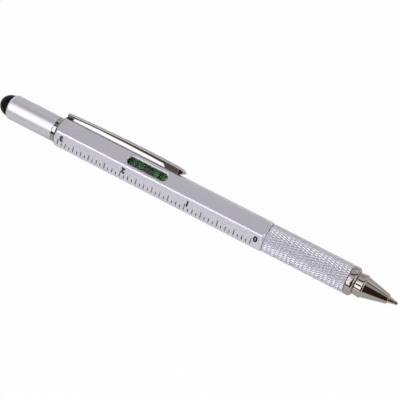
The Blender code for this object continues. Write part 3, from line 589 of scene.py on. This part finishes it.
ROOF_HEIGHT, ROOF_REACH = 1.48, 1.8
LUG = (-41.6, -39.2, 2.4, 1.35)
LUG_FOOT, LUG_CLEARANCE, LUG_STRIP = -0.95, 0.1, 0.35
COLLAR_FRONT = -41.0


def soften(obj, width, segments, over):
    """Breaks the edges that are sharper than an angle in degrees."""
    add_and_apply(
        obj,
        "BEVEL",
        width=width * MM,
        segments=segments,
        limit_method="ANGLE",
        angle_limit=math.radians(over),
    )


def channel(name, sections):
    """A bar drawn through (station, low, high, width) in mm, over the flat at z = 0."""
    x, low, high, width = sections[0]
    place = (x * MM, 0, (low + high) / 2 * MM)
    deselect_all()
    bpy.ops.mesh.primitive_plane_add(size=MM, location=place, rotation=(0, math.pi / 2, 0))
    obj = begin(name)
    bpy.ops.transform.resize(value=(1, width, high - low), center_override=place)
    for next_x, next_low, next_high, next_width in sections[1:]:
        rise = (next_low + next_high - low - high) / 2
        bpy.ops.mesh.extrude_region_move(
            TRANSFORM_OT_translate={"value": ((next_x - x) * MM, 0, rise * MM)}
        )
        factors = (1, next_width / width, (next_high - next_low) / (high - low))
        place = (next_x * MM, 0, (next_low + next_high) / 2 * MM)
        bpy.ops.transform.resize(value=factors, center_override=place)
        x, low, high, width = next_x, next_low, next_high, next_width
    bpy.ops.mesh.select_all(action="SELECT")
    bpy.ops.mesh.normals_make_consistent(inside=False)
    return obj


def clip_width(x):
    return CLIP_WIDTHS[0] + (CLIP_WIDTHS[1] - CLIP_WIDTHS[0]) * x / CLIP_LENGTH


def height_at(line, x):
    """Height of a line of (distance from the rear, height) at a distance."""
    for (x0, low), (x1, high) in zip(line, line[1:]):
        if x <= x1:
            return low + (high - low) * (x - x0) / (x1 - x0)


def clip_narrowing(x):
    """The end is drawn in over its last millimetres."""
    return 1 - END_NARROWING * max(0, (x - CLIP_LENGTH + END_LENGTH) / END_LENGTH) ** 2


stations = sorted({x for x, _ in CLIP_BACK + CLIP_EDGE})
sections = [
    (
        CLIP_REAR + x,
        height_at(CLIP_EDGE, x),
        height_at(CLIP_BACK, x),
        clip_width(x) * clip_narrowing(x),
    )
    for x in stations
]
clip = channel("pocket_clip", sections)
pick(
    "EDGE",
    lambda edge: len(edge.link_faces) == 2
    and any(face.normal.z > 0.6 for face in edge.link_faces)
    and any(abs(face.normal.y) > 0.8 for face in edge.link_faces),
)
bpy.ops.mesh.bevel(offset=CLIP_FOLD * MM, segments=6, affect="EDGES")
hollow = [-1, *(x for x, _ in CLIP_BACK if x < HOLLOW_END), HOLLOW_END]
clip_hollow = channel(
    "clip_hollow",
    [
        (
            CLIP_REAR + x,
            -1,
            height_at(CLIP_BACK, max(x, 0)) - CLIP_SHEET,
            clip_width(x) - 2 * CLIP_SHEET,
        )
        for x in hollow
    ],
)
deselect_all()
carve(clip, clip_hollow)
soften(clip, 0.06, 2, 40)
lay_on_flat(clip, CLIP_TILT)
complete(clip, "clip", dark_chrome, "clip", angle=40, flat_faces=True)
# Painted shade: the inside of the channel is painted near black for the shade under the clip, and
# so is the collar's lug beneath the clip's root.
painted_shade_steel = finish(
    "painted_shade_steel", (0.05, 0.045, 0.042), (0.03, 0.027, 0.025),
    gloss=(0.35, 0.5), marks=(3000,) * 3, relief=0.002,
)
outwards = Vector((0, -math.sin(CLIP_TILT), math.cos(CLIP_TILT)))
sideways = Vector((0, math.cos(CLIP_TILT), math.sin(CLIP_TILT)))


def inside_channel(face):
    place = face.calc_center_median() - Vector((0, 0, AXIS * MM))
    up, side = place.dot(outwards) / MM - AXIS, place.dot(sideways) / MM
    roof = face.normal.dot(outwards) < -0.7 and abs(side) < ROOF_REACH and up > ROOF_HEIGHT
    return roof or face.normal.dot(sideways) * side < -0.5


second_finish(clip, painted_shade_steel, inside_channel)

collar = turn(
    "clip_collar_ring",
    [(-42.8, 8.9), (-42.75, 9.0), (-41.6, 9.24), (-41.5, 9.4), (-41.15, 10.05), (-41.1, 10.0)],
    [(-42.8, 8.2), (-42.1, 8.2), (-42.1, 7.6), (-41.1, 7.6)],
)
lug_rear, lug_front, lug_width, lug_top = LUG
lug = channel(
    "collar_lug",
    [
        (lug_rear, LUG_FOOT, 0.0, lug_width),
        (lug_rear + 0.3, LUG_FOOT, LUG_STRIP, lug_width),
        (lug_rear + 0.48, LUG_FOOT, LUG_STRIP, lug_width),
        (lug_rear + 0.52, LUG_CLEARANCE, LUG_STRIP, lug_width),
        (lug_rear + 0.75, LUG_CLEARANCE, LUG_STRIP, lug_width),
        (lug_rear + 0.8, LUG_CLEARANCE, lug_top - 0.1, lug_width),
        (lug_rear + 0.9, LUG_CLEARANCE, lug_top, lug_width),
        (lug_front, LUG_CLEARANCE, lug_top, lug_width),
    ],
)
deselect_all()
soften(lug, 0.12, 3, 30)
lay_on_flat(lug, CLIP_TILT)
carve(collar, lug, "UNION")
complete(collar, "barrel", chrome, "clip_collar")
# The lug under the clip's root gets the same painted shade.
second_finish(collar, painted_shade_steel, lambda face: face.calc_center_median().x > COLLAR_FRONT * MM)

# ---- Screw cap ----
# A turned aluminium tube with a rolled rear rim, satin anodised, and a brass insert with the
# thread pressed in its front end.
satin = finish(
    "satin_aluminium", (0.64, 0.63, 0.665), (0.58, 0.57, 0.605),
    gloss=(0.38, 0.44), marks=(14000, 300, 300), relief=0.002,
)
brass = finish(
    "brass", (0.72, 0.53, 0.24), (0.62, 0.45, 0.19),
    gloss=(0.2, 0.35), marks=(14000, 300, 300), relief=0.003,
)


def arc(start, end, steps, first_square=True):
    """A quarter round between two (station, diameter), leaving the first one square to the pen."""
    points = []
    for i in range(steps + 1):
        angle = math.pi / 2 * i / steps
        along, across = 1 - math.cos(angle), math.sin(angle)
        if not first_square:
            along, across = math.sin(angle), 1 - math.cos(angle)
        x = start[0] + (end[0] - start[0]) * along
        diameter = start[1] + (end[1] - start[1]) * across
        points.append((x, diameter))
    return points


cap = turn(
    "screw_cap",
    [*arc((-61.8, 8.0), (-60.7, 9.1), 8), (-43.0, 9.1), (-42.9, 8.94)],
    [(-61.8, 7.5), (-42.9, 7.5)],
)
complete(cap, "cap", satin, "cap_tube", angle=28)
refinish({"cap_insert": brass})

# ---- Soft tip ----
# A hollow moulded dome of black conductive rubber. Its skirt is pushed into the rear of the cap
# and held there by a plastic plug.
rubber = finish(
    "black_rubber", (0.001, 0.001, 0.0015), (0.002, 0.002, 0.003),
    gloss=(0.26, 0.32), marks=(2600,) * 3, relief=0.001,
    metallic=0.0, Specular_IOR_Level=0.07,
)
black_plastic = finish(
    "black_plastic", (0.02, 0.02, 0.022), (0.035, 0.035, 0.037),
    gloss=(0.35, 0.5), marks=(3000,) * 3, relief=0.003,
    metallic=0.0,
)

dome = turn(
    "stylus_tip_dome",
    [(-59.4, 7.4), (-61.9, 7.4), *arc((-61.9, 7.85), (-66.35, 0), 14, first_square=False)],
    steps=80,
    closed=False,
)
add_and_apply(dome, "SOLIDIFY", thickness=0.8 * MM, offset=-1, use_even_offset=True)
complete(dome, "stylus_tip", rubber, "stylus_dome", angle=40)
refinish({"stylus_plug": black_plastic})

# ---- Twist mechanism ----
# A white housing with a helical slot is fixed in the barrel. A black drive turns in it with the
# grip, and a steel pin through both slots moves the refill's carrier.
refinish(
    {
        "twist_housing": white_plastic,
        "twist_drive": black_plastic,
        "refill_carrier": white_plastic,
        "cam_pin": tool_steel,
    }
)

# ---- Refill ----
# A thin steel tube of ink with a turned point pressed in its front end. The point's socket
# holds a hard ball that rolls.
BALL_PLACE = 88.25
BALL_RADIUS = 0.45

refill_ink = finish(
    "refill_ink", (0.01, 0.01, 0.03), (0.015, 0.015, 0.045),
    gloss=(0.3, 0.4), marks=(3000,) * 3, relief=0.001,
    metallic=0.0,
)
point_metal = finish(
    "point_metal", (0.5, 0.43, 0.38), (0.42, 0.36, 0.31),
    gloss=(0.12, 0.2), marks=(12000, 600, 600), relief=0.002,
)

point = turn(
    "refill_point_turned",
    [
        (75.65, 1.65),
        (78.65, 1.65),
        (78.65, 2.35),
        (85.5, 2.35),
        (87.05, 1.66),
        (87.1, 1.5),
        (88.12, 1.24),
        (88.25, 1.14),
    ],
    [(75.65, 0.5), (87.75, 0.5), (87.75, 1.0), (88.25, 1.0)],
    steps=48,
)
complete(point, "refill", point_metal, "refill_point")
deselect_all()
bpy.ops.mesh.primitive_uv_sphere_add(
    segments=32, ring_count=16, radius=BALL_RADIUS * MM, location=(BALL_PLACE * MM, 0, AXIS * MM)
)
ball = begin("point_ball")
bpy.ops.mesh.subdivide(number_cuts=1, smoothness=1)
complete(ball, "ball", tool_steel, "writing_ball", angle=60)
refinish({"refill_tube": tool_steel, "refill_ink": refill_ink})

# ---- Grip ----
# An aluminium sleeve with a diamond knurl between two narrow plain ends, anodised as the barrel.
# A brass bush in its rear end turns in the barrel.
GRIP = (41.1, 71.0)
GRIP_ENDS = (10.18, 10.12)
KNURL_DEPTH = 0.22
KNURL_FLANK = 0.27
KNURL_RISE = 0.92
KNURL_INSIDE = 4.3
KNURLS_AROUND = 38
KNURLS_ALONG = 10
PLAIN_END = 0.12

knurled = finish(
    "knurled_aluminium", (0.67, 0.665, 0.735), (0.65, 0.645, 0.715),
    gloss=(0.42, 0.46), marks=(9000,) * 3, relief=0.0,
)
refinish({"grip_bush": brass})
rear, front = GRIP
knurl_start, knurl_end = rear + PLAIN_END, front - PLAIN_END


def grip_diameter(x):
    return GRIP_ENDS[0] + (GRIP_ENDS[1] - GRIP_ENDS[0]) * (x - rear) / (front - rear)


knurl_length = knurl_end - knurl_start
rings = [knurl_start + knurl_length * i / KNURLS_ALONG for i in range(KNURLS_ALONG + 1)]
grip = turn(
    "knurled_grip",
    [
        (rear, GRIP_ENDS[0] - 0.6),
        (rear + 0.06, GRIP_ENDS[0] - 0.46),
        *((x, grip_diameter(x) - 2 * KNURL_DEPTH) for x in rings),
        (front - 0.1, GRIP_ENDS[1] - 0.36),
        (front, GRIP_ENDS[1] - 0.6),
    ],
    [(rear, 8.1), (rear + 7, 8.1), (rear + 7, 6.8), (front, 6.8)],
    steps=KNURLS_AROUND,
)
bpy.context.view_layer.objects.active = grip
bpy.ops.object.mode_set(mode="EDIT")


def in_knurl(face):
    middle = face.calc_center_median()
    across = math.hypot(middle.y, middle.z - AXIS * MM)
    return knurl_start * MM < middle.x < knurl_end * MM and across > KNURL_INSIDE * MM


def between_knurls(edge):
    return len(edge.link_faces) == 2 and all(in_knurl(face) for face in edge.link_faces)


pick("EDGE", between_knurls)
bpy.ops.mesh.mark_seam()
pick("FACE", in_knurl)
bpy.ops.mesh.poke()
pick("EDGE", lambda edge: edge.seam)
bpy.ops.mesh.dissolve_edges(use_verts=False)
pick("FACE", in_knurl)
bpy.ops.mesh.inset(
    thickness=KNURL_FLANK * MM, depth=KNURL_DEPTH * KNURL_RISE * MM, use_individual=True
)
complete(grip, "grip", knurled, "grip_sleeve", angle=14)

# ---- Nose ----
# A turned brass bead and cone, bright plated. The cone's shank is pressed in the grip and holds
# the bead against it; the refill's point comes out of its bore.
bead = turn(
    "nose_bead",
    [
        *arc((71.1, 9.7), (71.6, 10.1), 5),
        *arc((72.7, 10.1), (73.75, 7.8), 8, first_square=False),
    ],
    [(71.1, 6.8), (73.75, 6.8)],
)
complete(bead, "grip", chrome, "nose_ring", angle=40)

cone = turn(
    "nose_cone_turned",
    [
        (61.8, 6.7),
        (73.85, 6.7),
        (73.85, 7.5),
        (73.95, 7.6),
        (74.3, 7.62),
        (75.9, 8.03),
        (76.1, 8.05),
        (76.4, 8.05),
        (76.6, 7.95),
        (76.75, 7.7),
        (76.85, 7.36),
        (76.95, 7.26),
        (84.95, 3.5),
        (85.05, 3.42),
        (85.2, 3.38),
        (85.3, 3.1),
    ],
    [(61.8, 2.6), (85.3, 2.6)],
)
complete(cone, "grip", chrome, "nose_cone", angle=28)

# ---- Floor, light and camera ----
# A white table, a fill lamp that the shiny pieces don't mirror, and a glowing studio with a big
# window, light panels and the dark places that the plated pieces mirror. A long lens above.
CAMERA_PLACE = (0.11621, -0.16457, 0.35999)
CAMERA_RIGHT = (0.86137, 0.50788, -0.01024)
CAMERA_UP = (-0.44129, 0.75811, 0.48013)
CAMERA_BACK = (0.25161, -0.40905, 0.87714)
LENS = 108.09
LENS_SHIFT = (-0.0002, -0.00035)
FILL_FROM, FILL_DISTANCE, FILL_SIZE, FILL_POWER = (0.1, -0.7, 0.7), 0.9, (0.6, 0.3), 3.2
ROOM_LIGHT = 0.84
ALONG_FALL, ALONG_MOST = -0.45, 0.3
ACROSS_FALL, ACROSS_LEAST = -0.2, -0.1
WINDOW_LIGHT, WINDOW_GLOW = (-0.5, -0.595, 0.63), (0.66, 1.0, 0, 1.7)
BACK_PANEL, BACK_GLOW = (0.26, 0.85, 0.46), (0.9, 0.97, 0, 0.6)
FAR_SIDE_DIMMING = (0.5, 0.95, 0, 0.2)
POINT_SIDE_GLOW = (0.74, 0.9, 0, 0.8)
DARK_CENTRE = 0.36
DARK_SIZE = (0.42, 0.64)
DARK_EDGE = (0.75, 1.25)
DARK_TILT = (0, 0.707, 0.707)
GAPS, GAP_EDGE = ((-0.48, 0.813, -0.331), (0, 0.276, 0.961)), (0.06, 0.12)
DARK_SPOTS = (
    ((-0.31, -0.545, 0.779), 0.985, 0.994),
    ((-0.6, 0.37, 0.71), 0.972, 0.985),
    ((-0.56, -0.813, 0.158), 0.965, 0.985),
)
SPOT_REMAINDER = 0.04
SHADE_TINT, LIGHT_TINT = (0.05, 0.03, 0.022, 1), (1, 0.985, 1, 1)
TABLE_WHITE = (0.8, 0.8, 0.8, 1)
FLOOR_SIZE = 6.0
FLOOR_GLOW = 0.95

deselect_all()
bpy.ops.mesh.primitive_plane_add(size=FLOOR_SIZE, location=(0, 0, 0))
floor_plane = bpy.context.object
floor_plane.name = "floor"
paper = bpy.data.materials.new("white_table")
paper.use_nodes = True
nodes, links = paper.node_tree.nodes, paper.node_tree.links
nodes.clear()
output = nodes.new("ShaderNodeOutputMaterial")
matt = nodes.new("ShaderNodeBsdfDiffuse")
matt.inputs["Color"].default_value = TABLE_WHITE
glow = nodes.new("ShaderNodeEmission")
mix = nodes.new("ShaderNodeMixShader")
rays = nodes.new("ShaderNodeLightPath")
either = nodes.new("ShaderNodeMath")
either.operation = "MAXIMUM"
share = nodes.new("ShaderNodeMath")
share.operation = "MULTIPLY"
share.inputs[1].default_value = FLOOR_GLOW
links.new(rays.outputs["Is Camera Ray"], either.inputs[0])
links.new(rays.outputs["Is Transmission Ray"], either.inputs[1])
links.new(either.outputs[0], share.inputs[0])
links.new(share.outputs[0], mix.inputs["Fac"])
links.new(matt.outputs[0], mix.inputs[1])
links.new(glow.outputs[0], mix.inputs[2])
links.new(mix.outputs[0], output.inputs["Surface"])
floor_plane.data.materials.append(paper)


def soft_box(name, direction, distance, size, power):
    """A rectangular lamp facing the pen from a direction, one pair of edges across the pen."""
    lamp = bpy.data.lights.new(name, "AREA")
    lamp.shape = "RECTANGLE"
    lamp.size, lamp.size_y = size
    lamp.energy = power
    obj = bpy.data.objects.new(name, lamp)
    bpy.context.scene.collection.objects.link(obj)
    towards = Vector(direction).normalized()
    across = towards.cross(Vector((1, 0, 0))).normalized()
    turned = Matrix((across.cross(towards), across, towards)).transposed()
    obj.matrix_world = Matrix.Translation(towards * distance) @ turned.to_4x4()
    return obj


fill = soft_box("fill_box", FILL_FROM, FILL_DISTANCE, FILL_SIZE, FILL_POWER)
fill.visible_glossy = False

world = bpy.data.worlds.new("studio")
bpy.context.scene.world = world
world.use_nodes = True
nodes, links = world.node_tree.nodes, world.node_tree.links
nodes.clear()
place = nodes.new("ShaderNodeTexCoord")


def towards(direction):
    """How far the way looked agrees with a direction."""
    node = nodes.new("ShaderNodeVectorMath")
    node.operation = "DOT_PRODUCT"
    node.inputs[1].default_value = Vector(direction).normalized()
    links.new(place.outputs["Generated"], node.inputs[0])
    return node.outputs["Value"]


def calc(operation, *values):
    node = nodes.new("ShaderNodeMath")
    node.operation = operation
    for socket, value in zip(node.inputs, values):
        if isinstance(value, (int, float)):
            socket.default_value = value
        else:
            links.new(value, socket)
    return node.outputs[0]


def ease(value, start, end, low=0, high=1):
    """Goes from low to high, smoothly, as the value goes from start to end."""
    node = nodes.new("ShaderNodeMapRange")
    node.interpolation_type = "SMOOTHSTEP"
    links.new(value, node.inputs["Value"])
    limits = {"From Min": start, "From Max": end, "To Min": low, "To Max": high}
    for label, number in limits.items():
        node.inputs[label].default_value = number
    return node.outputs["Result"]


along, across = towards((1, 0, 0)), towards((0, 1, 0))
panel = ease(towards(BACK_PANEL), *BACK_GLOW)
fall = calc("MULTIPLY_ADD", calc("MINIMUM", along, ALONG_MOST), ALONG_FALL, ROOM_LIGHT)
room = calc("MULTIPLY_ADD", calc("MAXIMUM", across, ACROSS_LEAST), ACROSS_FALL, fall)
window = ease(towards(WINDOW_LIGHT), *WINDOW_GLOW)
room = calc("SUBTRACT", room, ease(across, *FAR_SIDE_DIMMING))
room = calc("ADD", room, ease(along, *POINT_SIDE_GLOW))
light = calc("ADD", calc("ADD", room, panel), window)
side = calc("DIVIDE", calc("SUBTRACT", along, DARK_CENTRE), DARK_SIZE[0])
tilt = calc("DIVIDE", towards(DARK_TILT), DARK_SIZE[1])
away = calc("ADD", calc("MULTIPLY", side, side), calc("MULTIPLY", tilt, tilt))
shade = calc("MULTIPLY", light, ease(away, *DARK_EDGE))
for direction in GAPS:
    edge = calc("ABSOLUTE", towards(direction))
    shade = calc("MULTIPLY", shade, ease(edge, *GAP_EDGE))
for direction, start, full in DARK_SPOTS:
    spot = ease(towards(direction), start, full, 1, SPOT_REMAINDER)
    shade = calc("MULTIPLY", shade, spot)
tint = nodes.new("ShaderNodeMix")
tint.data_type = "RGBA"
tint.inputs["A"].default_value = SHADE_TINT
tint.inputs["B"].default_value = LIGHT_TINT
links.new(calc("MINIMUM", shade, 1), tint.inputs["Factor"])
output = nodes.new("ShaderNodeOutputWorld")
walls = nodes.new("ShaderNodeBackground")
white = nodes.new("ShaderNodeBackground")
white.inputs["Color"].default_value = (1, 1, 1, 1)
mix = nodes.new("ShaderNodeMixShader")
rays = nodes.new("ShaderNodeLightPath")
links.new(tint.outputs["Result"], walls.inputs["Color"])
links.new(calc("MAXIMUM", shade, 1), walls.inputs["Strength"])
links.new(rays.outputs["Is Camera Ray"], mix.inputs["Fac"])
links.new(walls.outputs[0], mix.inputs[1])
links.new(white.outputs[0], mix.inputs[2])
links.new(mix.outputs[0], output.inputs["Surface"])

camera = bpy.data.objects.new("camera", bpy.data.cameras.new("camera"))
bpy.context.scene.collection.objects.link(camera)
camera.data.lens = LENS
camera.data.sensor_width = 36
camera.data.sensor_fit = "HORIZONTAL"
camera.data.shift_x, camera.data.shift_y = LENS_SHIFT
camera.data.clip_start = 0.02
turned = Matrix((CAMERA_RIGHT, CAMERA_UP, CAMERA_BACK)).transposed()
camera.matrix_world = Matrix.Translation(CAMERA_PLACE) @ turned.to_4x4()
bpy.context.scene.camera = camera
bpy.context.scene.view_settings.view_transform = "Standard"
